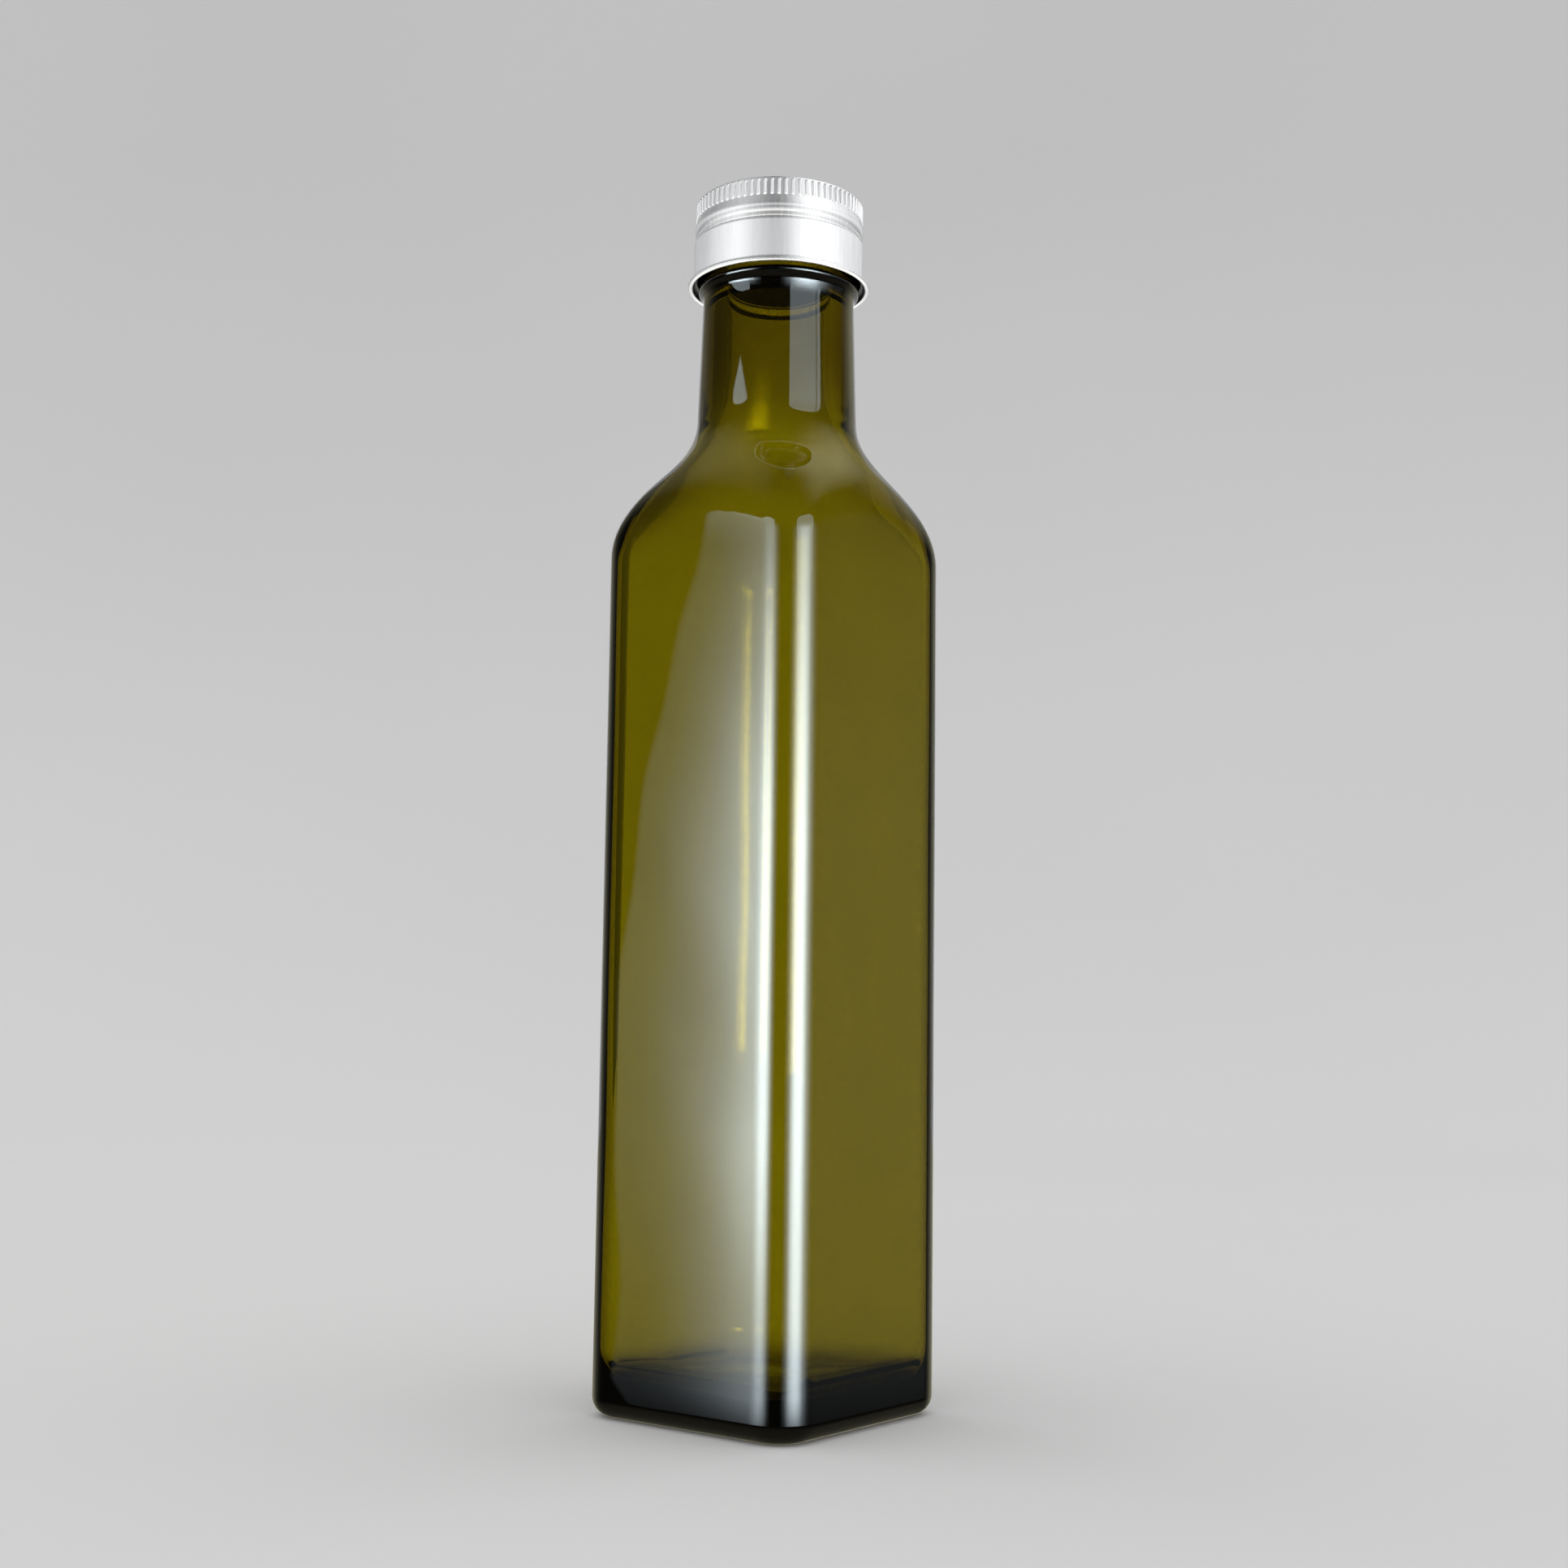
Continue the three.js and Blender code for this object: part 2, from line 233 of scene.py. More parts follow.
foot = heel_half(0.0)
hollow = dome(foot - RING_WIDTH, CORNER - HEEL, 0, PUSH_UP, np.linspace(0, 1, 12) ** 0.7)
across = np.linspace(0, 1, 8)[1:]
ring_reach = square_reach(ANGLES, foot, CORNER - HEEL)
inner_ring = square_reach(ANGLES, foot - RING_WIDTH, CORNER - HEEL)
ring = rows(inner_ring + across[:, None] * (ring_reach - inner_ring), np.zeros(len(across)), ANGLES)
step = np.hypot(*np.diff(ring[-1, :, :2], axis=0, append=ring[-1, :1, :2]).T)
along = np.cumsum(step) - step
marks = np.round(step.sum() / MARK_PITCH)
groove = 0.5 + 0.5 * np.cos(2 * math.pi * along / step.sum() * marks)
ring[:, :, 2] = MARK_DEPTH * groove**1.5 * np.sin(math.pi * across)[:, None] ** 0.5
print("radial marks under the base:", int(marks))

# %% [markdown]
# Right under the cap the neck flares out by a small arc and rounds over into a glass bead,
# by which a bottle is carried from mould to mould. The plain finish over it runs up to a
# rounded lip, and the inside comes down from there. Rows are closest on the shoulder,
# where the surface bends most. The waves fade out towards the mouth and the floor.

# %% Skin of the glass
SHOULDER_START, NECK_START, BORE_START, BORE_END, CONE_END = 146, 184, 214, 180, 162
NECK_END, NECK_FLARE_BEND, FLARE_TURN = 200.6, 1.5, 50.0
GLASS_BEAD_BEND, BEAD_RUN, FINISH_RADIUS, LIP_ROUND = 1.0, 1.2, 13.5, 1.1
OUTER_WAVE, INNER_WAVE, WAVE_FADE = 0.022, 0.09, 12

side_z = np.concatenate([
    heel_heights(HEEL, 12)[1:],
    np.linspace(HEEL, SHOULDER_START, 37)[1:],
    np.linspace(SHOULDER_START, NECK_START, 50)[1:],
    np.linspace(NECK_START, NECK_END, 8)[1:],
])
outer_wave = OUTER_WAVE * (waves(side_z[:, None], ANGLES, 1.0) - 1)
side = rows(outer_reach(side_z[:, None], ANGLES) + outer_wave, side_z, ANGLES)

end_radius = float(turned_radius(NECK_END))
flare_arc = arc(end_radius + NECK_FLARE_BEND, NECK_END, NECK_FLARE_BEND, 180, 180 - FLARE_TURN, 10)
flare_end = math.radians(FLARE_TURN)
bead_middle = flare_arc[-1] - GLASS_BEAD_BEND * np.array([math.cos(flare_end), -math.sin(flare_end)])
finish = turned(np.concatenate([
    flare_arc[1:],
    arc(*bead_middle, GLASS_BEAD_BEND, -FLARE_TURN, 80, 16)[1:],
    np.array([[FINISH_RADIUS, bead_middle[1] + GLASS_BEAD_BEND + BEAD_RUN]]),
    arc(FINISH_RADIUS - LIP_ROUND, LIP - LIP_ROUND, LIP_ROUND, 0, 90, 7),
    arc(BORE + LIP_ROUND, LIP - LIP_ROUND, LIP_ROUND, 90, 180, 7),
]), ANGLES)

cavity_z = np.concatenate([
    np.linspace(BORE_START, BORE_END, 9),
    np.linspace(BORE_END, CONE_END, 37)[1:],
    np.linspace(CONE_END, SHOULDER_START, 17)[1:],
    np.linspace(SHOULDER_START, FLOOR + INNER_HEEL, 36)[1:],
    FLOOR + heel_heights(INNER_HEEL, 12)[::-1][1:],
])
over_floor = np.clip((cavity_z[:, None] - FLOOR) / WAVE_FADE, 0, 1)
under_lip = np.clip((LIP - cavity_z[:, None]) / WAVE_FADE, 0, 1)
inner_wave = over_floor * under_lip * INNER_WAVE * waves(cavity_z[:, None], ANGLES, 4.2)
cavity = rows(inner_reach(cavity_z[:, None], ANGLES) + inner_wave, cavity_z, ANGLES)
floor_half = HALF - WALL - INNER_HEEL
floor_rows = dome(floor_half, FLOOR_CORNER, FLOOR, FLOOR_DOME, np.linspace(1, 0, 12)[1:])

glass_grid = np.concatenate([hollow, ring, side, finish, cavity, floor_rows])
print("glass grid:", glass_grid.shape[:2], "from", glass_grid[..., 2].min(), "to", glass_grid[..., 2].max())

# %% [markdown]
# A grid becomes a mesh by joining each point to its next in the row and in the column.
# The first and last rows are single points on the axis, so they close the skin there.

# %% Mesh from a closed grid


def closed_mesh(name, grid):
    """A smooth closed mesh: quads between rows, and fans to one point at both ends."""
    middle, count = grid[1:-1], grid.shape[1]
    points = np.concatenate([grid[0, :1], middle.reshape(-1, 3), grid[-1, :1]]) * MM
    at = 1 + np.arange(len(middle) * count).reshape(len(middle), count)
    beside = np.roll(at, -1, 1)
    quads = np.stack([at[:-1], beside[:-1], beside[1:], at[1:]], 2).reshape(-1, 4)
    first = np.stack([np.zeros(count, int), beside[0], at[0]], 1)
    last = np.stack([np.full(count, len(points) - 1), at[-1], beside[-1]], 1)
    mesh = bpy.data.meshes.new(name)
    mesh.from_pydata(points.tolist(), [], quads.tolist() + first.tolist() + last.tolist())
    mesh.shade_smooth()
    made = bpy.data.objects.new(name, mesh)
    bpy.context.scene.collection.objects.link(made)
    print(name, len(points), "points", 2 * len(quads) + 2 * count, "triangles")
    return made


glass_bottle = closed_mesh("oil_bottle", glass_grid)

# %% [markdown]
# The cap is drawn from thin aluminium sheet and turned to its shape by rollers. From below
# it has a rolled edge, a plain skirt, a groove, a rounded bead, a slope that leans inward,
# and above that the knurled band. The profile starts inside, under the lid, comes down
# the inner wall, goes round the rolled edge and up the outside to the band.

# %% Profile of the cap
CAP_BOTTOM, CAP_TOP, SKIRT, SHEET, LID = 203.0, 219.4, 15.75, 0.55, 1.5
INNER_CUT, INNER_END, INNER_BEND, INNER_RISE = 0.4, 0.45, 0.35, 0.75
CURL, CURL_CENTRE, FOOT_BEND, SKIRT_FOOT, SKIRT_START = 0.5, 16.4, 0.3, 0.35, 204.6
GROOVE_HEIGHT, GROOVE_RADIUS, GROOVE_BEND, GROOVE_EDGE, SKIRT_END = 211.9, 15.4, 0.2, 0.55, 211.2
CAP_BEAD_HEIGHT, CAP_BEAD_BEND, CAP_BEAD_RADIUS = 214.0, 2.6, 15.7
SLOPE_START, SLOPE_END = (15.63, 214.6), (15.37, 215.75)

inner = SKIRT - SHEET
curl_height = CAP_BOTTOM + CURL
under_lid = CAP_TOP - LID
lower = np.concatenate([
    [[0, under_lid], [inner * 0.6, under_lid], [inner - INNER_CUT, under_lid]],
    [[inner, under_lid - INNER_CUT], [inner, curl_height + INNER_RISE + INNER_END]],
    arc(inner + INNER_BEND, curl_height + INNER_RISE, INNER_BEND, 180, 130, 3),
    arc(CURL_CENTRE, curl_height, CURL, 170, 450, 16),
    arc(SKIRT + FOOT_BEND, curl_height + CURL + SKIRT_FOOT, FOOT_BEND, 270, 180, 4),
    np.linspace([SKIRT, SKIRT_START], [SKIRT, SKIRT_END], 4),
    arc(SKIRT - GROOVE_BEND, GROOVE_HEIGHT - GROOVE_EDGE, GROOVE_BEND, 0, 60, 3),
    arc(GROOVE_RADIUS + GROOVE_BEND, GROOVE_HEIGHT, GROOVE_BEND, 240, 120, 4),
    arc(CAP_BEAD_RADIUS - CAP_BEAD_BEND, CAP_BEAD_HEIGHT, CAP_BEAD_BEND, -30, 8, 12),
    np.linspace(SLOPE_START, SLOPE_END, 6),
])
print("profile of the cap:", len(lower), "points up to the fingers")

# %% [markdown]
# The band has 76 fingers for grip. Each is half a round rod with a round end that stands
# out from the wall, and the wall behind them leans inward to the rim. So a finger's height
# over the wall is its full height times the root of what is left of 1 when the squares of
# the way to its side and of the way into its end are taken off. The grid's columns are
# given as shares of half a pitch, closest together where a finger meets the wall.

# %% Knurled band
FINGER_BOTTOM, FINGER_TOP, FINGERS, FINGER_RADIUS, FINGER_WIDTH = 215.9, 219.0, 76, 15.62, 0.52
FINE_BOTTOM, MIDDLE_BOTTOM, MIDDLE_TOP, FINE_TOP = 216.5, 216.8, 218.3, 218.45
WAIST_RADIUS, RIM_RADIUS = 15.34, 15.1

columns = np.array([-1, -0.58, -0.52, -0.46, -0.36, -0.18, 0, 0.18, 0.36, 0.46, 0.52, 0.58])
CAP_ANGLES = ((np.arange(FINGERS)[:, None] + columns / 2) * 2 * math.pi / FINGERS).ravel()
beside_finger = np.tile(columns, FINGERS) / FINGER_WIDTH
knurl_z = np.concatenate([
    np.linspace(FINGER_BOTTOM, FINE_BOTTOM, 10),
    np.linspace(MIDDLE_BOTTOM, MIDDLE_TOP, 4),
    np.linspace(FINE_TOP, FINGER_TOP, 8),
])
half_width = math.pi * FINGER_RADIUS / FINGERS * FINGER_WIDTH
into_end = np.maximum(FINGER_BOTTOM + half_width - knurl_z, 0) / half_width
into_top = np.maximum(knurl_z - (FINGER_TOP - half_width), 0) / half_width
left = 1 - (beside_finger**2)[None] - (into_end**2 + into_top**2)[:, None]
wall_radius = np.interp(knurl_z, [FINGER_BOTTOM, FINGER_TOP], [WAIST_RADIUS, RIM_RADIUS])
finger = (FINGER_RADIUS - wall_radius)[:, None] * np.sqrt(np.maximum(left, 0))
knurl_reach = wall_radius[:, None] + finger
print("a finger is", round(2 * half_width, 2), "mm wide")

# %% [markdown]
# The top rounds over a small edge into a lid that sags by a hair. The first rows of the
# grid are the inside of the cap, down to the inward side of the rolled edge. They are
# marked with an attribute, so that the material paints them nearly black as painted shade.

# %% Whole cap
EDGE_ROUND, INSIDE_ROWS = 0.35, 12

edge = arc(RIM_RADIUS - EDGE_ROUND, CAP_TOP - EDGE_ROUND, EDGE_ROUND, 5, 90, 8)
lid_radius = np.array([14.6, 13.9, 9, 4, 0])
lid_sag = np.array([0, 0.05, 0.08, 0.09, 0.09])
upper = np.concatenate([edge, np.stack([lid_radius, CAP_TOP - lid_sag], 1)])
cap_grid = np.concatenate([
    turned(lower, CAP_ANGLES),
    rows(knurl_reach, knurl_z, CAP_ANGLES),
    turned(upper, CAP_ANGLES),
])
screw_cap = closed_mesh("knurled_cap", cap_grid)
inside = np.zeros(2 + len(CAP_ANGLES) * (len(cap_grid) - 2), np.float32)
inside[:1 + len(CAP_ANGLES) * (INSIDE_ROWS - 1)] = 1
screw_cap.data.attributes.new("inside", "FLOAT", "POINT").data.foreach_set("value", inside)
print("cap reaches", float(np.hypot(cap_grid[..., 0], cap_grid[..., 1]).max().round(2)), "mm")

# %% [markdown]
# Each piece takes the place of the CAD node with the same form, which is hidden. The
# bottle has no moving parts, so both ride on the root body.

# %% Pieces and the CAD model
for piece, cad_node, slot in ((glass_bottle, "glass_bottle", "olive_glass"),
                              (screw_cap, "screw_cap", "satin_aluminium")):
    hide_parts(cad_node)
    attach(piece, "root")
    print(piece.name, "stands for", cad_node)

# %% [markdown]
# Colours are given as screen colours and turned into light values by one function.
# Shaders are put together by one small function that adds a node, sets it and joins it.

# %% Colours and nodes


def linear(code):
    """Light values of a screen colour such as "a0b1c2": each part to the power 2.4."""
    parts = np.array([int(code[i:i + 2], 16) for i in (0, 2, 4)]) / 255
    light = np.where(parts <= 0.04045, parts / 12.92, ((parts + 0.055) / 1.055) ** 2.4)
    return (*light.tolist(), 1.0)


def node(tree, kind, inputs=None, stops=None, **settings):
    """Adds one shader node: its settings, its ramp's stops, and its inputs as values or links."""
    made = tree.nodes.new(kind)
    for key, value in settings.items():
        setattr(made, key, value)
    for key, value in (inputs or {}).items():
        if isinstance(value, bpy.types.NodeSocket):
            tree.links.new(value, made.inputs[key])
        else:
            made.inputs[key].default_value = value
    if stops:
        ramp = made.color_ramp
        while len(ramp.elements) < len(stops):
            ramp.elements.new(0.5)
        for element, (place, value) in zip(ramp.elements, stops):
            element.position = place
            element.color = value if isinstance(value, tuple) else (value, value, value, 1)
    return made


def new_material(name, piece):
    """An empty material with only its output node, put on a piece."""
    material = bpy.data.materials.new(name)
    material.use_nodes = True
    material.node_tree.nodes.clear()
    piece.data.materials.append(material)
    return material.node_tree, node(material.node_tree, "ShaderNodeOutputMaterial")


print("white is", linear("ffffff"))

# %% [markdown]
# Olive container glass gets its colour from iron and chromium in the melt, all through the
# wall. So the surface is clear and the volume takes light away. For each metre of path it
# takes some of the red, a bit more of the green, and nearly all of the blue. Thick places
# such as the corners, the floor and the neck turn dark by themselves. A thin film from
# handling makes the surface a little duller in patches.

# %% Olive container glass
ABSORBED = np.array([216.0, 248.4, 1140.0])
DENSITY, FILM_PATCH = 1200.0, 16.7

tree, output = new_material("olive container glass", glass_bottle)
place = node(tree, "ShaderNodeTexCoord").outputs["Object"]
smudge = node(tree, "ShaderNodeTexNoise", {"Vector": place, "Scale": 1 / (FILM_PATCH * MM), "Detail": 3.0})
film = node(tree, "ShaderNodeValToRGB", {"Fac": smudge.outputs["Fac"]},
            stops=[(0.35, linear("ffffff")), (0.7, linear("f9f9f8"))])
glass = node(tree, "ShaderNodeBsdfPrincipled", {
    "Base Color": film.outputs["Color"], "Roughness": 0.0, "IOR": 1.52, "Transmission Weight": 1.0})
kept = 1 - ABSORBED / DENSITY
body = node(tree, "ShaderNodeVolumeAbsorption", {"Color": (*kept.tolist(), 1.0), "Density": DENSITY})
tree.links.new(glass.outputs["BSDF"], output.inputs["Surface"])
tree.links.new(body.outputs["Volume"], output.inputs["Volume"])
print("light left after one wall:", np.exp(-ABSORBED * WALL * MM).round(2))

# %% [markdown]
# The cap is aluminium under a thin matt lacquer. Drawing the sheet over a punch leaves
# fine upright marks in it, so the noise is stretched along the height. It makes the
# metal a little rougher and a little darker in lines, and lifts them by a hair. The real
# marks are finer, and these are drawn as coarse as they need to be to show. The inside
# is painted nearly black, as painted shade for the shadow inside the cap.

# %% Satin aluminium
MARK_SPACING, MARK_STRETCH, MARK_LIFT = 0.556, 0.06, 0.02

tree, output = new_material("satin aluminium", screw_cap)
place = node(tree, "ShaderNodeTexCoord").outputs["Object"]
upright = node(tree, "ShaderNodeMapping", {"Vector": place, "Scale": (1.0, 1.0, MARK_STRETCH)})
drawn = node(tree, "ShaderNodeTexNoise", {
    "Vector": upright.outputs["Vector"], "Scale": 1 / (MARK_SPACING * MM), "Detail": 4.0,
    "Roughness": 0.6}).outputs["Fac"]
tone = node(tree, "ShaderNodeValToRGB", {"Fac": drawn},
            stops=[(0.25, linear("d2d3d5")), (0.75, linear("e6e7e8"))])
rough = node(tree, "ShaderNodeMapRange", {
    "Value": drawn, "From Min": 0.3, "From Max": 0.7, "To Min": 0.22, "To Max": 0.3})
lift = node(tree, "ShaderNodeBump", {"Height": drawn, "Strength": 0.25, "Distance": MARK_LIFT * MM})
inner_side = node(tree, "ShaderNodeAttribute", attribute_name="inside").outputs["Fac"]
# The rows inside the cap get a near-black base colour: painted shade for the shadow inside the cap.
painted_shade_inside = node(tree, "ShaderNodeMix", {
    "Factor": inner_side, "A": tone.outputs["Color"], "B": linear("0d0d0c")}, data_type="RGBA")
metal = node(tree, "ShaderNodeBsdfPrincipled", {
    "Base Color": painted_shade_inside.outputs["Result"], "Metallic": 1.0,
    "Roughness": rough.outputs["Result"], "Normal": lift.outputs["Normal"]})
tree.links.new(metal.outputs["BSDF"], output.inputs["Surface"])
print("marks in the metal are", MARK_SPACING, "mm apart")

# %% [markdown]
# The camera is where the real one was, worked out from the bottle's outlines: 376 mm from
# the axis, at about a third of the bottle's height, turned 38 degrees off the front face
# and tilted up by 6 degrees, with a lens of 48 mm.

# %% Camera
AZIMUTH, DISTANCE, HEIGHT, LENS, SENSOR = 0.671, 376.464, 68.527, 48.02, 36.0
YAW, PITCH, ROLL = np.radians([-0.33643, 6.4427, 0.76238])

turn = AZIMUTH + YAW
forward = np.array([-math.sin(turn) * math.cos(PITCH), math.cos(turn) * math.cos(PITCH), math.sin(PITCH)])
level = np.array([math.cos(turn), math.sin(turn), 0])
upward = np.cross(level, forward)
right = level * math.cos(ROLL) + upward * math.sin(ROLL)
up = upward * math.cos(ROLL) - level * math.sin(ROLL)
lens = bpy.data.cameras.new("camera")
lens.lens, lens.sensor_width, lens.clip_start = LENS, SENSOR, 0.01
camera = bpy.data.objects.new("camera", lens)
matrix = np.eye(4)
matrix[:3, 0], matrix[:3, 1], matrix[:3, 2] = right, up, -forward
matrix[:3, 3] = np.array([DISTANCE * math.sin(AZIMUTH), -DISTANCE * math.cos(AZIMUTH), HEIGHT]) * MM
camera.matrix_world = matrix.T.tolist()
bpy.context.scene.collection.objects.link(camera)
bpy.context.scene.camera = camera
print("camera looks up by", float(np.degrees(PITCH).round(2)), "degrees")

# %% [markdown]
# The bottle stands on a pale floor that runs up into a backdrop without an edge. The
# floor is level near the bottle and bends up behind it. It lies a tenth of a millimetre
# lower than the bottle's ring, so that the two never share a plane. The paper is a little
# cloudy. The glass mirrors the painted room instead of the floor, which would lighten its
# lower half.

# %% Floor and backdrop
SINK, FLOOR_NEAR, FLOOR_FAR, FLOOR_WIDTH = 0.0001, -3, 0.7, 6
BEND_RADIUS, BACKDROP_TOP, BACKDROP_WIDTH, SHEET_COLUMNS = 0.9, 3.0, 1.64, 9
CLOUDS_PER_METRE = 1.5

to_camera = np.array([math.sin(AZIMUTH), -math.cos(AZIMUTH), 0])
to_right = np.array([math.cos(AZIMUTH), math.sin(AZIMUTH), 0])


def sheet_mesh(name, distance_height, width):
    """A sheet whose profile is given behind the bottle, as (distance, height) in metres."""
    profile = np.asarray(distance_height)
    sides = np.linspace(-width / 2, width / 2, SHEET_COLUMNS)
    points = (-profile[:, None, :1] * to_camera + sides[None, :, None] * to_right
              + profile[:, None, 1:] * np.array([0, 0, 1]))
    at = np.arange(points.shape[0] * SHEET_COLUMNS).reshape(-1, SHEET_COLUMNS)
    quads = np.stack([at[:-1, :-1], at[:-1, 1:], at[1:, 1:], at[1:, :-1]], 2).reshape(-1, 4)
    mesh = bpy.data.meshes.new(name)
    mesh.from_pydata(points.reshape(-1, 3).tolist(), [], quads.tolist())
    mesh.shade_smooth()
    made = bpy.data.objects.new(name, mesh)
    bpy.context.scene.collection.objects.link(made)
    made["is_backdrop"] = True
    return made


bend = np.radians(np.linspace(0, 90, 25))
curve = np.stack([FLOOR_FAR + BEND_RADIUS * np.sin(bend), BEND_RADIUS * (1 - np.cos(bend)) - SINK], 1)
floor = sheet_mesh("floor", [[FLOOR_NEAR, -SINK], [-0.5, -SINK], [FLOOR_FAR, -SINK]], FLOOR_WIDTH)
backdrop = sheet_mesh("backdrop", [*curve.tolist(), [FLOOR_FAR + BEND_RADIUS, BACKDROP_TOP]], BACKDROP_WIDTH)
tree, output = new_material("pale paper", floor)
backdrop.data.materials.append(floor.data.materials[0])
place = node(tree, "ShaderNodeTexCoord").outputs["Object"]
grain = node(tree, "ShaderNodeTexNoise", {"Vector": place, "Scale": CLOUDS_PER_METRE, "Detail": 2.0})
paper_tone = node(tree, "ShaderNodeValToRGB", {"Fac": grain.outputs["Fac"]},
                  stops=[(0.2, linear("dddddd")), (0.8, linear("e2e2e2"))])
paper = node(tree, "ShaderNodeBsdfDiffuse", {"Color": paper_tone.outputs["Color"]})
tree.links.new(paper.outputs["BSDF"], output.inputs["Surface"])
floor.visible_glossy = False
print("the sweep ends", FLOOR_FAR + BEND_RADIUS, "m behind the bottle")

# %% [markdown]
# The room is painted on the world by direction. A direction has an azimuth round the
# bottle, 0 towards the camera and larger to the right, and a rise over the horizon. Each
# light is a product of shares along the two, read off short rows of stops in degrees.
# A rounded corner of glass mirrors the whole room in a few millimetres, so the rows
# decide directly how its bright bands look.

# %% Directions and shares
world = bpy.data.worlds.new("studio")
bpy.context.scene.world = world
world.use_nodes = True
world.cycles.sampling_method = "NONE"
tree = world.node_tree
tree.nodes.clear()
view = node(tree, "ShaderNodeTexCoord").outputs["Generated"]
front = node(tree, "ShaderNodeVectorMath", {0: view, 1: tuple(to_camera)}, operation="DOT_PRODUCT")
side_way = node(tree, "ShaderNodeVectorMath", {0: view, 1: tuple(to_right)}, operation="DOT_PRODUCT")
height = node(tree, "ShaderNodeSeparateXYZ", {0: view}).outputs["Z"]
around = node(tree, "ShaderNodeMath", {0: side_way.outputs["Value"], 1: front.outputs["Value"]},
              operation="ARCTAN2").outputs[0]
rise = node(tree, "ShaderNodeMath", {0: height}, operation="ARCSINE").outputs[0]


def ramp(value, start, end):
    """0 up to the angle start, 1 from the angle end on, and a straight ramp between them."""
    return node(tree, "ShaderNodeMapRange", {
        "Value": value, "From Min": math.radians(start), "From Max": math.radians(end)}).outputs["Result"]


def profile(value, stops):
    """A share between 0 and 1 read off a row of (degrees, share) stops."""
    low, high = stops[0][0], stops[-1][0]
    places = [((degrees - low) / (high - low), share) for degrees, share in stops]
    return node(tree, "ShaderNodeValToRGB", {"Fac": ramp(value, low, high)}, stops=places).outputs["Color"]


def times(*values):
    """The product of several values or node outputs."""
    made = values[0]
    for value in values[1:]:
        made = node(tree, "ShaderNodeMath", {0: made, 1: value}, operation="MULTIPLY").outputs[0]
    return made


def plus(*values):
    """The sum of several values or node outputs."""
    made = values[0]
    for value in values[1:]:
        made = node(tree, "ShaderNodeMath", {0: made, 1: value}, operation="ADD").outputs[0]
    return made


def without(share):
    """What is left of 1 when a share is taken off it."""
    return plus(1.0, times(share, -1.0))


def not_below_zero(value):
    """The larger of a value and 0."""
    return node(tree, "ShaderNodeMath", {0: value, 1: 0.0}, operation="MAXIMUM").outputs[0]


print("azimuth 0 points to", to_camera.round(3))

# %% [markdown]
# Two tall lamps stand in front of the bottle, one at each side. Their light falls off
# softly, so they make the bright upright bands on the corners. Over each lamp hangs a
# paler screen with a crisp top, which closes the bands and gives the neck its stripes.
# The far edge of the left lamp and screen leans away by the square of the rise, so on
# the flat face it makes a slanted patch. The top of each screen is an arch, given as a
# share of its full height by azimuth. A thin bar shades the right screen near its end.

# %% Lamps and screens
LEFT_LAMP, RIGHT_LAMP, LEFT_SCREEN, RIGHT_SCREEN = 22.5, 23.0, 3.4, 2.95
LEFT_TOP, RIGHT_TOP, TOP_BLUR, EDGE_BLUR = 20.85, 32, 0.115, 0.25
LEFT_EDGE, EDGE_WIDTH, LEAN_FROM, LEAN = -80.95, 0.15, -1, 0.54
BAR_FROM, BAR_TO, BAR_SHADE = 58.5, 60.5, 0.6


def between(value, low, high):
    """1 between two angles in degrees and 0 outside them, with a short ramp at both."""
    off_middle = plus(value, -math.radians((low + high) / 2))
    size = node(tree, "ShaderNodeMath", {0: off_middle}, operation="ABSOLUTE").outputs[0]
    half = (high - low) / 2
    return ramp(size, half + EDGE_BLUR, half - EDGE_BLUR)


def below_top(full, stops):
    """1 under the upper edge of a screen, whose height by azimuth is a share of full degrees."""
    top = times(profile(around, stops), math.radians(full))
    return ramp(plus(top, times(rise, -1.0)), -TOP_BLUR, TOP_BLUR)


over_lean = not_below_zero(plus(rise, -math.radians(LEAN_FROM)))
leaning = plus(around, times(over_lean, over_lean, -LEAN))
left_edge = ramp(leaning, LEFT_EDGE, LEFT_EDGE + EDGE_WIDTH)
left_top = below_top(LEFT_TOP, [
    (-80, 0.62), (-74, 0.85), (-67, 0.95), (-57, 1.0), (-45.5, 0.96), (-25, 0.96)])
right_top = below_top(RIGHT_TOP, [
    (17.5, 0.75), (20, 0.85), (25, 0.94), (32, 0.99), (42, 1.0), (52, 0.99), (58, 0.94), (63, 0.85),
    (66, 0.75)])
bar = without(times(BAR_SHADE, between(around, BAR_FROM, BAR_TO)))
left_screen = times(LEFT_SCREEN, left_edge, left_top, between(around, -82, -44.5), profile(rise, [
    (13, 0.0), (17, 1.0), (30, 1.0)]))
right_screen = times(RIGHT_SCREEN, right_top, bar, between(around, 17.5, 66), profile(rise, [
    (11, 0.0), (16, 1.0), (19, 1.0), (22.5, 0.8), (50, 1.0)]))
left_lamp_around = profile(around, [
    (-82, 0.026), (-80.4, 0.031), (-79.7, 0.049), (-79, 0.093), (-78.4, 0.16), (-78, 0.235),
    (-77.6, 0.33), (-77.2, 0.44), (-75.5, 0.54), (-73, 0.65), (-65, 0.9), (-57, 1.0), (-49, 0.88),
    (-41, 0.49), (-35, 0.15), (-31, 0.06), (-25, 0.0)])
left_lamp_rise = profile(rise, [
    (-16, 0.0), (-12, 0.25), (-9.5, 0.38), (-7.4, 0.53), (-5.3, 0.75), (-3, 0.97), (3, 1.0), (6, 0.88),
    (8, 0.67), (9.7, 0.5), (11, 0.4), (14, 0.15), (17, 0.0)])
right_lamp_around = profile(around, [
    (2, 0.0), (8, 0.03), (16, 0.16), (24, 0.59), (32, 0.88), (40, 1.0), (48, 0.95), (56, 0.63),
    (64, 0.26), (72, 0.11), (80, 0.03), (90, 0.008), (108, 0.008), (112, 0.0)])
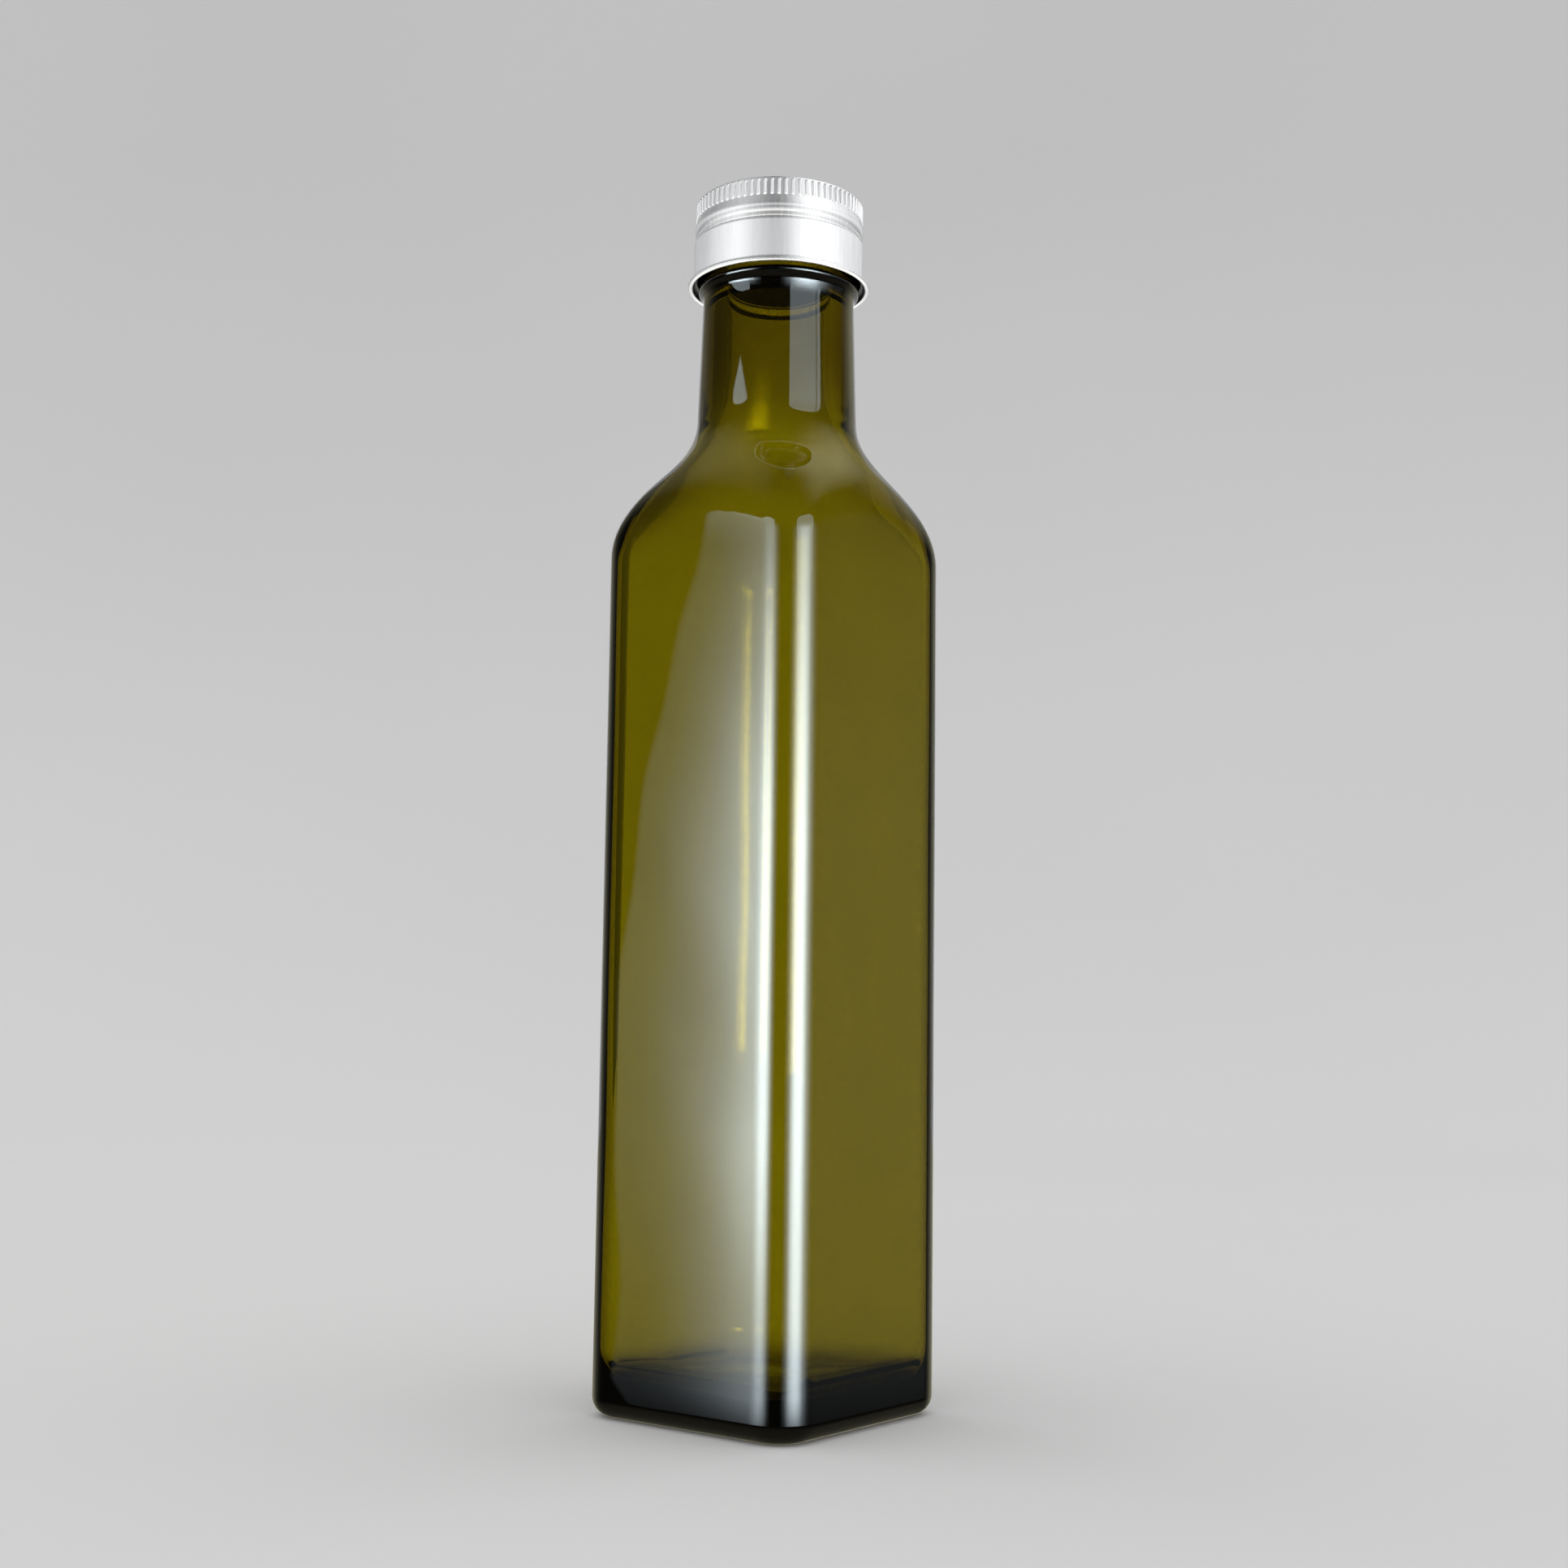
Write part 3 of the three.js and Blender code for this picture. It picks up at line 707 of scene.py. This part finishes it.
right_lamp_rise = profile(rise, [
    (-16, 0.0), (-12, 0.4), (-8, 0.8), (-3, 1.0), (5, 1.0), (11, 0.6), (14, 0.3), (17, 0.06), (21, 0.0)])
left_lamp = times(LEFT_LAMP, left_edge, left_top, left_lamp_around, left_lamp_rise)
right_lamp = times(RIGHT_LAMP, right_lamp_around, right_lamp_rise)
lamps = plus(left_lamp, right_lamp, left_screen, right_screen)
print("nodes for the lamps:", len(tree.nodes))

# %% [markdown]
# The rest of the glass's room is dim, so that its colour comes through between the lamps.
# The floor gives a little light from below. A pale ceiling, brightest at the sides, makes
# the soft haze where the shoulder turns into the neck. The wall behind lights the
# outermost edges, where glass mirrors most.

# %% Dim room round the glass
CEILING, LEFT_BACK, RIGHT_BACK, DIM = 0.7, 0.4, 0.5, 0.03

below_room = profile(rise, [(-90, 0.12), (-28, 0.1), (-17, 0.0), (0, 0.0)])
ceiling_around = profile(around, [
    (-160, 0.0), (-135, 0.35), (-115, 0.45), (-90, 0.3), (-70, 0.1), (-50, 0.0), (40, 0.0), (65, 0.25),
    (90, 0.8), (120, 1.0), (150, 0.9), (170, 0.4), (180, 0.0)])
ceiling_rise = profile(rise, [(38, 0.0), (50, 1.0), (66, 1.0), (80, 0.1), (90, 0.05)])
left_back_around = profile(around, [(-180, 1.0), (-140, 1.0), (-126, 0.5), (-115, 0.15), (-100, 0.0)])
left_back_rise = profile(rise, [
    (-30, 0.0), (-14, 1.0), (14, 1.0), (22, 0.4), (29, 0.5), (40, 0.5), (46, 0.0)])
right_back_around = profile(around, [(110, 0.0), (122, 0.5), (136, 1.0), (180, 1.0)])
right_back_rise = profile(rise, [(-30, 0.0), (-14, 1.0), (20, 1.0), (40, 0.4), (90, 0.3)])
dim_room = plus(
    below_room,
    times(CEILING, ceiling_around, ceiling_rise),
    times(LEFT_BACK, left_back_around, left_back_rise),
    times(RIGHT_BACK, right_back_around, right_back_rise),
    DIM)
glass_room = plus(lamps, dim_room)
lamp_share = node(tree, "ShaderNodeMath", {0: lamps, 1: glass_room}, operation="DIVIDE").outputs[0]
print("nodes with the dim room:", len(tree.nodes))

# %% [markdown]
# Satin metal blurs what it mirrors, and the real cap shows a paler and softer room than
# the glass does. So it gets a room of its own: light from both sides with a darker strip
# in the middle, a band of light a little over the horizon for the skirt and the bead,
# more light from the upper right, and the pale floor from below.

# %% Soft room round the metal
SOFT_SIDES, SOFT_RIGHT, SOFT_FLOOR, SOFT_DIM = 1.05, 0.9, 1.2, 0.1

sides_around = profile(around, [
    (-180, 0.15), (-120, 0.2), (-90, 0.48), (-57, 0.8), (-32, 0.3), (-12, 0.0), (4, 0.0), (20, 0.5),
    (40, 1.0), (60, 0.8), (90, 0.48), (120, 0.25), (180, 0.2)])
sides_rise = profile(rise, [(-70, 0.25), (-30, 0.75), (0, 1.0), (20, 0.85), (50, 0.5), (90, 0.3)])
band_around = profile(around, [
    (-180, 0.4), (-120, 0.6), (-60, 1.0), (60, 1.0), (130, 0.7), (180, 0.5)])
band_rise = profile(rise, [
    (-8, 0.0), (6, 0.15), (13, 0.85), (21, 0.85), (29, 0.2), (38, 0.03), (44, 0.26), (52, 0.26),
    (62, 0.03), (90, 0.03)])
right_around = profile(around, [
    (-180, 0.1), (-120, 0.1), (-90, 0.0), (5, 0.0), (25, 0.3), (48, 1.0), (140, 1.0), (180, 0.1)])
right_rise = profile(rise, [(18, 0.0), (40, 1.0), (90, 0.9)])
floor_rise = profile(rise, [(-90, 1.0), (-26, 1.0), (-12, 0.4), (0, 0.0)])
metal_room = plus(
    times(SOFT_SIDES, sides_around, sides_rise),
    times(band_around, band_rise),
    times(SOFT_RIGHT, right_around, right_rise),
    times(SOFT_FLOOR, floor_rise),
    SOFT_DIM)
print("nodes with the soft room:", len(tree.nodes))

# %% [markdown]
# The two rooms are told apart by the ray. Only a surface without any roughness, which is
# the glass, sends out a singular ray. The lamps are a little cool, the rest of the room is
# warm from its paper and walls, and light off the floor is cream.
# A ray that goes past the bottle or through it sees a pale sky that is lighter higher up.
# Through the glass, the wall at the left is darker, and the right lamp shows too.

# %% Light put together
LAMP_COOL, ROOM_WARM = (0.85, 0.985, 1.06, 1), (1.05, 1, 0.72, 1)
WHITE, FLOOR_CREAM = (1, 1, 1, 1), (1, 0.99, 0.9, 1)
SKY, SKY_GAIN = 0.58, 0.5

rays = node(tree, "ShaderNodeLightPath").outputs
by_glass, through = rays["Is Singular Ray"], rays["Is Transmission Ray"]
cap_colour = node(tree, "ShaderNodeMix", {
    "Factor": ramp(rise, -12, -40), "A": WHITE, "B": FLOOR_CREAM}, data_type="RGBA").outputs["Result"]
glass_colour = node(tree, "ShaderNodeMix", {
    "Factor": lamp_share, "A": ROOM_WARM, "B": LAMP_COOL}, data_type="RGBA").outputs["Result"]
light_colour = node(tree, "ShaderNodeMix", {
    "Factor": by_glass, "A": cap_colour, "B": glass_colour}, data_type="RGBA").outputs["Result"]
mirrored = node(tree, "ShaderNodeBackground", {
    "Color": light_colour,
    "Strength": plus(times(glass_room, by_glass), times(metal_room, without(by_glass)))})
sky = plus(SKY, times(not_below_zero(height), SKY_GAIN))
dark_left = times(through, profile(around, [
    (-180, 0.0), (-160, 0.0), (-150, 0.65), (-100, 0.65), (-80, 0.0), (0, 0.0)]))
pale = node(tree, "ShaderNodeBackground", {
    "Color": WHITE, "Strength": plus(times(sky, without(dark_left)), times(right_lamp, through))})
choose = node(tree, "ShaderNodeMixShader", {
    0: times(rays["Is Glossy Ray"], without(through)),
    1: pale.outputs["Background"], 2: mirrored.outputs["Background"]})
node(tree, "ShaderNodeOutputWorld", {"Surface": choose.outputs["Shader"]})
bpy.context.scene.view_settings.view_transform = "Standard"
print("nodes of the whole room:", len(tree.nodes))

# %% [markdown]
# Last, the sizes of the finished pieces are written next to the CAD sizes, to compare.

# %% Sizes


def plain(box):
    """Plain nested lists from whatever holds the corners of the boxes."""
    if isinstance(box, dict):
        return {str(key): plain(value) for key, value in box.items()}
    if isinstance(box, (str, int, float)) or box is None:
        return box
    return [plain(value) for value in box]


{"cad": plain(cad_box), "now": plain(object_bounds())}
